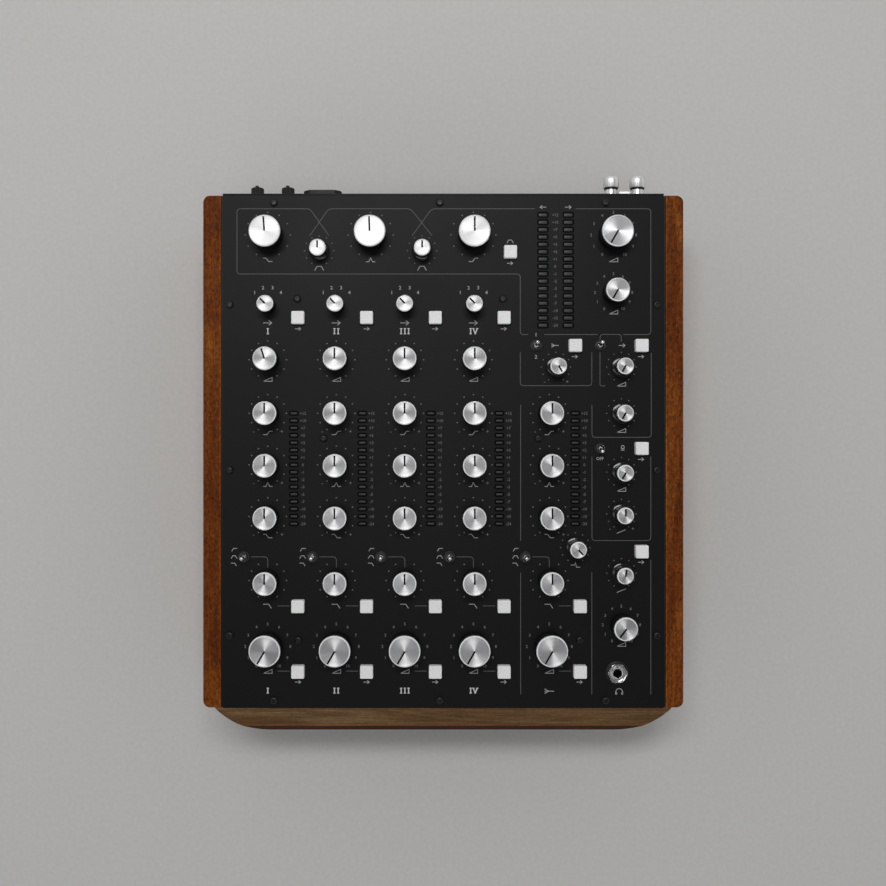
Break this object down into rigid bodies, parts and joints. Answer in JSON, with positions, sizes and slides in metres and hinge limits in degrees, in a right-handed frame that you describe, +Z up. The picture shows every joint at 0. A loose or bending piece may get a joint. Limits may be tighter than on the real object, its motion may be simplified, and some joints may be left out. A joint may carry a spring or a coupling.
{
  "type": "dj mixer",
  "caption": "Rotary mixing desk with wooden cheeks, metal knobs, square push buttons, toggle switches and level meters.",
  "frame": {"origin": "under the middle of the desk's box, on the surface that it stands on", "axes": "+Z up, +Y to the rear with the sockets, +X to the user's right"},
  "size_m": [0.348, 0.415, 0.107],
  "materials": {
    "panel_paint": "fine textured black powder coat",
    "case_paint": "satin black powder coat",
    "wood": "oiled reddish brown wood with open pores",
    "rubber": "matt black",
    "black_steel": "black oxide",
    "board": "green solder mask",
    "socket_metal": "nickel plate and black mouldings",
    "button_plastic": "white translucent, unlit",
    "chrome": "bright plated",
    "knob_metal": "turned bright face",
    "knob_body": "black, finely fluted",
    "legend_ink": "light grey screen print",
    "lens": "smoky, unlit"
  },
  "bodies": {
    "root": {"top_panel": "panel_paint", "steel_case": "case_paint", "side_cheeks": "wood", "front_rail": "wood", "rubber_feet": "rubber", "fasteners": "black_steel", "circuit_boards": "board", "sockets": "socket_metal"},
    "push_buttons": {"push_buttons": "button_plastic"},
    "filter_mode_toggles": {"filter_mode_toggles": "chrome"},
    "routing_toggles": {"routing_toggles": "chrome"},
    "mic_toggle": {"mic_toggle": "chrome"},
    "isolator_low_knob": {"isolator_low_knob": "knob_metal"},
    "isolator_mid_knob": {"isolator_mid_knob": "knob_metal"},
    "isolator_high_knob": {"isolator_high_knob": "knob_metal"},
    "low_crossover_knob": {"low_crossover_knob": "knob_metal"},
    "high_crossover_knob": {"high_crossover_knob": "knob_metal"},
    "master_knob": {"master_knob": "knob_metal"},
    "booth_knob": {"booth_knob": "knob_metal"},
    "loop_level_knob": {"loop_level_knob": "knob_metal"},
    "session_in_knob": {"session_in_knob": "knob_metal"},
    "session_out_knob": {"session_out_knob": "knob_metal"},
    "mic_gain_knob": {"mic_gain_knob": "knob_metal"},
    "mic_tone_knob": {"mic_tone_knob": "knob_metal"},
    "resonance_knob": {"resonance_knob": "knob_metal"},
    "phones_pan_knob": {"phones_pan_knob": "knob_metal"},
    "phones_level_knob": {"phones_level_knob": "knob_metal"},
    "channel_1_source_knob": {"channel_1_source_knob": "knob_metal"},
    "channel_1_gain_knob": {"channel_1_gain_knob": "knob_metal"},
    "channel_2_source_knob": {"channel_2_source_knob": "knob_metal"},
    "channel_2_gain_knob": {"channel_2_gain_knob": "knob_metal"},
    "channel_3_source_knob": {"channel_3_source_knob": "knob_metal"},
    "channel_3_gain_knob": {"channel_3_gain_knob": "knob_metal"},
    "channel_4_source_knob": {"channel_4_source_knob": "knob_metal"},
    "channel_4_gain_knob": {"channel_4_gain_knob": "knob_metal"},
    "channel_1_treble_knob": {"channel_1_treble_knob": "knob_metal"},
    "channel_1_middle_knob": {"channel_1_middle_knob": "knob_metal"},
    "channel_1_bass_knob": {"channel_1_bass_knob": "knob_metal"},
    "channel_1_filter_knob": {"channel_1_filter_knob": "knob_metal"},
    "channel_1_mix_knob": {"channel_1_mix_knob": "knob_metal"},
    "channel_2_treble_knob": {"channel_2_treble_knob": "knob_metal"},
    "channel_2_middle_knob": {"channel_2_middle_knob": "knob_metal"},
    "channel_2_bass_knob": {"channel_2_bass_knob": "knob_metal"},
    "channel_2_filter_knob": {"channel_2_filter_knob": "knob_metal"},
    "channel_2_mix_knob": {"channel_2_mix_knob": "knob_metal"},
    "channel_3_treble_knob": {"channel_3_treble_knob": "knob_metal"},
    "channel_3_middle_knob": {"channel_3_middle_knob": "knob_metal"},
    "channel_3_bass_knob": {"channel_3_bass_knob": "knob_metal"},
    "channel_3_filter_knob": {"channel_3_filter_knob": "knob_metal"},
    "channel_3_mix_knob": {"channel_3_mix_knob": "knob_metal"},
    "channel_4_treble_knob": {"channel_4_treble_knob": "knob_metal"},
    "channel_4_middle_knob": {"channel_4_middle_knob": "knob_metal"},
    "channel_4_bass_knob": {"channel_4_bass_knob": "knob_metal"},
    "channel_4_filter_knob": {"channel_4_filter_knob": "knob_metal"},
    "channel_4_mix_knob": {"channel_4_mix_knob": "knob_metal"},
    "submix_treble_knob": {"submix_treble_knob": "knob_metal"},
    "submix_middle_knob": {"submix_middle_knob": "knob_metal"},
    "submix_bass_knob": {"submix_bass_knob": "knob_metal"},
    "submix_filter_knob": {"submix_filter_knob": "knob_metal"},
    "submix_mix_knob": {"submix_mix_knob": "knob_metal"}
  },
  "joints": [
    {"name": "push_buttons_press", "type": "slide", "parent": "root", "child": "push_buttons", "axis": [0, 0, -1], "range_m": [0, 0.002], "stiffness_N_per_m": 900},
    {"name": "filter_mode_toggles_throw", "type": "hinge", "parent": "root", "child": "filter_mode_toggles", "pos_m": [-0.1443, -0.07425, 0.0913], "axis": [1, 0, 0], "range_deg": [-12, 12]},
    {"name": "routing_toggles_throw", "type": "hinge", "parent": "root", "child": "routing_toggles", "pos_m": [0.0671, 0.07855, 0.0913], "axis": [1, 0, 0], "range_deg": [0, 24]},
    {"name": "mic_toggle_throw", "type": "hinge", "parent": "root", "child": "mic_toggle", "pos_m": [0.1134, 0.00425, 0.0913], "axis": [1, 0, 0], "range_deg": [-24, 0]},
    {"name": "isolator_low_knob_turn", "type": "hinge", "parent": "root", "child": "isolator_low_knob", "pos_m": [-0.127, 0.15875, 0.09], "axis": [0, 0, -1], "range_deg": [-146, 154]},
    {"name": "isolator_mid_knob_turn", "type": "hinge", "parent": "root", "child": "isolator_mid_knob", "pos_m": [-0.0526, 0.15875, 0.09], "axis": [0, 0, -1], "range_deg": [-148, 152]},
    {"name": "isolator_high_knob_turn", "type": "hinge", "parent": "root", "child": "isolator_high_knob", "pos_m": [0.0218, 0.15875, 0.09], "axis": [0, 0, -1], "range_deg": [-150, 150]},
    {"name": "low_crossover_knob_turn", "type": "hinge", "parent": "root", "child": "low_crossover_knob", "pos_m": [-0.0898, 0.14735, 0.09], "axis": [0, 0, -1], "range_deg": [-150, 150]},
    {"name": "high_crossover_knob_turn", "type": "hinge", "parent": "root", "child": "high_crossover_knob", "pos_m": [-0.0154, 0.14735, 0.09], "axis": [0, 0, -1], "range_deg": [-150, 150]},
    {"name": "master_knob_turn", "type": "hinge", "parent": "root", "child": "master_knob", "pos_m": [0.1232, 0.15875, 0.09], "axis": [0, 0, -1], "range_deg": [0, 300]},
    {"name": "booth_knob_turn", "type": "hinge", "parent": "root", "child": "booth_knob", "pos_m": [0.1232, 0.11715, 0.09], "axis": [0, 0, -1], "range_deg": [0, 300]},
    {"name": "loop_level_knob_turn", "type": "hinge", "parent": "root", "child": "loop_level_knob", "pos_m": [0.0815, 0.06315, 0.09], "axis": [0, 0, -1], "range_deg": [-300, 0]},
    {"name": "session_in_knob_turn", "type": "hinge", "parent": "root", "child": "session_in_knob", "pos_m": [0.1289, 0.06315, 0.09], "axis": [0, 0, -1], "range_deg": [0, 300]},
    {"name": "session_out_knob_turn", "type": "hinge", "parent": "root", "child": "session_out_knob", "pos_m": [0.1289, 0.02965, 0.09], "axis": [0, 0, -1], "range_deg": [0, 300]},
    {"name": "mic_gain_knob_turn", "type": "hinge", "parent": "root", "child": "mic_gain_knob", "pos_m": [0.1289, -0.01295, 0.09], "axis": [0, 0, -1], "range_deg": [0, 300]},
    {"name": "mic_tone_knob_turn", "type": "hinge", "parent": "root", "child": "mic_tone_knob", "pos_m": [0.1289, -0.04325, 0.09], "axis": [0, 0, -1], "range_deg": [-150, 150]},
    {"name": "resonance_knob_turn", "type": "hinge", "parent": "root", "child": "resonance_knob", "pos_m": [0.0956, -0.06755, 0.09], "axis": [0, 0, -1], "range_deg": [-287, 13]},
    {"name": "phones_pan_knob_turn", "type": "hinge", "parent": "root", "child": "phones_pan_knob", "pos_m": [0.1289, -0.08605, 0.09], "axis": [0, 0, -1], "range_deg": [-157, 143]},
    {"name": "phones_level_knob_turn", "type": "hinge", "parent": "root", "child": "phones_level_knob", "pos_m": [0.1289, -0.12335, 0.09], "axis": [0, 0, -1], "range_deg": [-8, 292]},
    {"name": "channel_1_source_knob_turn", "type": "hinge", "parent": "root", "child": "channel_1_source_knob", "pos_m": [-0.127, 0.10765, 0.09], "axis": [0, 0, -1], "range_deg": [0, 90]},
    {"name": "channel_1_gain_knob_turn", "type": "hinge", "parent": "root", "child": "channel_1_gain_knob", "pos_m": [-0.127, 0.06845, 0.09], "axis": [0, 0, -1], "range_deg": [-132, 168]},
    {"name": "channel_2_source_knob_turn", "type": "hinge", "parent": "root", "child": "channel_2_source_knob", "pos_m": [-0.0774, 0.10765, 0.09], "axis": [0, 0, -1], "range_deg": [0, 90]},
    {"name": "channel_2_gain_knob_turn", "type": "hinge", "parent": "root", "child": "channel_2_gain_knob", "pos_m": [-0.0774, 0.06845, 0.09], "axis": [0, 0, -1], "range_deg": [-150, 150]},
    {"name": "channel_3_source_knob_turn", "type": "hinge", "parent": "root", "child": "channel_3_source_knob", "pos_m": [-0.0278, 0.10765, 0.09], "axis": [0, 0, -1], "range_deg": [0, 90]},
    {"name": "channel_3_gain_knob_turn", "type": "hinge", "parent": "root", "child": "channel_3_gain_knob", "pos_m": [-0.0278, 0.06845, 0.09], "axis": [0, 0, -1], "range_deg": [-150, 150]},
    {"name": "channel_4_source_knob_turn", "type": "hinge", "parent": "root", "child": "channel_4_source_knob", "pos_m": [0.0218, 0.10765, 0.09], "axis": [0, 0, -1], "range_deg": [0, 90]},
    {"name": "channel_4_gain_knob_turn", "type": "hinge", "parent": "root", "child": "channel_4_gain_knob", "pos_m": [0.0218, 0.06845, 0.09], "axis": [0, 0, -1], "range_deg": [-150, 150]},
    {"name": "channel_1_treble_knob_turn", "type": "hinge", "parent": "root", "child": "channel_1_treble_knob", "pos_m": [-0.127, 0.02965, 0.09], "axis": [0, 0, -1], "range_deg": [-150, 150]},
    {"name": "channel_1_middle_knob_turn", "type": "hinge", "parent": "root", "child": "channel_1_middle_knob", "pos_m": [-0.127, -0.00765, 0.09], "axis": [0, 0, -1], "range_deg": [-150, 150]},
    {"name": "channel_1_bass_knob_turn", "type": "hinge", "parent": "root", "child": "channel_1_bass_knob", "pos_m": [-0.127, -0.04495, 0.09], "axis": [0, 0, -1], "range_deg": [-150, 150]},
    {"name": "channel_1_filter_knob_turn", "type": "hinge", "parent": "root", "child": "channel_1_filter_knob", "pos_m": [-0.127, -0.09135, 0.09], "axis": [0, 0, -1], "range_deg": [-150, 150]},
    {"name": "channel_1_mix_knob_turn", "type": "hinge", "parent": "root", "child": "channel_1_mix_knob", "pos_m": [-0.127, -0.13905, 0.09], "axis": [0, 0, -1], "range_deg": [0, 300]},
    {"name": "channel_2_treble_knob_turn", "type": "hinge", "parent": "root", "child": "channel_2_treble_knob", "pos_m": [-0.0774, 0.02965, 0.09], "axis": [0, 0, -1], "range_deg": [-150, 150]},
    {"name": "channel_2_middle_knob_turn", "type": "hinge", "parent": "root", "child": "channel_2_middle_knob", "pos_m": [-0.0774, -0.00765, 0.09], "axis": [0, 0, -1], "range_deg": [-150, 150]},
    {"name": "channel_2_bass_knob_turn", "type": "hinge", "parent": "root", "child": "channel_2_bass_knob", "pos_m": [-0.0774, -0.04495, 0.09], "axis": [0, 0, -1], "range_deg": [-150, 150]},
    {"name": "channel_2_filter_knob_turn", "type": "hinge", "parent": "root", "child": "channel_2_filter_knob", "pos_m": [-0.0774, -0.09135, 0.09], "axis": [0, 0, -1], "range_deg": [-150, 150]},
    {"name": "channel_2_mix_knob_turn", "type": "hinge", "parent": "root", "child": "channel_2_mix_knob", "pos_m": [-0.0774, -0.13905, 0.09], "axis": [0, 0, -1], "range_deg": [0, 300]},
    {"name": "channel_3_treble_knob_turn", "type": "hinge", "parent": "root", "child": "channel_3_treble_knob", "pos_m": [-0.0278, 0.02965, 0.09], "axis": [0, 0, -1], "range_deg": [-150, 150]},
    {"name": "channel_3_middle_knob_turn", "type": "hinge", "parent": "root", "child": "channel_3_middle_knob", "pos_m": [-0.0278, -0.00765, 0.09], "axis": [0, 0, -1], "range_deg": [-150, 150]},
    {"name": "channel_3_bass_knob_turn", "type": "hinge", "parent": "root", "child": "channel_3_bass_knob", "pos_m": [-0.0278, -0.04495, 0.09], "axis": [0, 0, -1], "range_deg": [-150, 150]},
    {"name": "channel_3_filter_knob_turn", "type": "hinge", "parent": "root", "child": "channel_3_filter_knob", "pos_m": [-0.0278, -0.09135, 0.09], "axis": [0, 0, -1], "range_deg": [-150, 150]},
    {"name": "channel_3_mix_knob_turn", "type": "hinge", "parent": "root", "child": "channel_3_mix_knob", "pos_m": [-0.0278, -0.13905, 0.09], "axis": [0, 0, -1], "range_deg": [0, 300]},
    {"name": "channel_4_treble_knob_turn", "type": "hinge", "parent": "root", "child": "channel_4_treble_knob", "pos_m": [0.0218, 0.02965, 0.09], "axis": [0, 0, -1], "range_deg": [-150, 150]},
    {"name": "channel_4_middle_knob_turn", "type": "hinge", "parent": "root", "child": "channel_4_middle_knob", "pos_m": [0.0218, -0.00765, 0.09], "axis": [0, 0, -1], "range_deg": [-150, 150]},
    {"name": "channel_4_bass_knob_turn", "type": "hinge", "parent": "root", "child": "channel_4_bass_knob", "pos_m": [0.0218, -0.04495, 0.09], "axis": [0, 0, -1], "range_deg": [-150, 150]},
    {"name": "channel_4_filter_knob_turn", "type": "hinge", "parent": "root", "child": "channel_4_filter_knob", "pos_m": [0.0218, -0.09135, 0.09], "axis": [0, 0, -1], "range_deg": [-150, 150]},
    {"name": "channel_4_mix_knob_turn", "type": "hinge", "parent": "root", "child": "channel_4_mix_knob", "pos_m": [0.0218, -0.13905, 0.09], "axis": [0, 0, -1], "range_deg": [0, 300]},
    {"name": "submix_treble_knob_turn", "type": "hinge", "parent": "root", "child": "submix_treble_knob", "pos_m": [0.0767, 0.02965, 0.09], "axis": [0, 0, -1], "range_deg": [-150, 150]},
    {"name": "submix_middle_knob_turn", "type": "hinge", "parent": "root", "child": "submix_middle_knob", "pos_m": [0.0767, -0.00765, 0.09], "axis": [0, 0, -1], "range_deg": [-150, 150]},
    {"name": "submix_bass_knob_turn", "type": "hinge", "parent": "root", "child": "submix_bass_knob", "pos_m": [0.0767, -0.04495, 0.09], "axis": [0, 0, -1], "range_deg": [-150, 150]},
    {"name": "submix_filter_knob_turn", "type": "hinge", "parent": "root", "child": "submix_filter_knob", "pos_m": [0.0767, -0.09135, 0.09], "axis": [0, 0, -1], "range_deg": [-150, 150]},
    {"name": "submix_mix_knob_turn", "type": "hinge", "parent": "root", "child": "submix_mix_knob", "pos_m": [0.0767, -0.13905, 0.09], "axis": [0, 0, -1], "range_deg": [0, 300]}
  ]
}
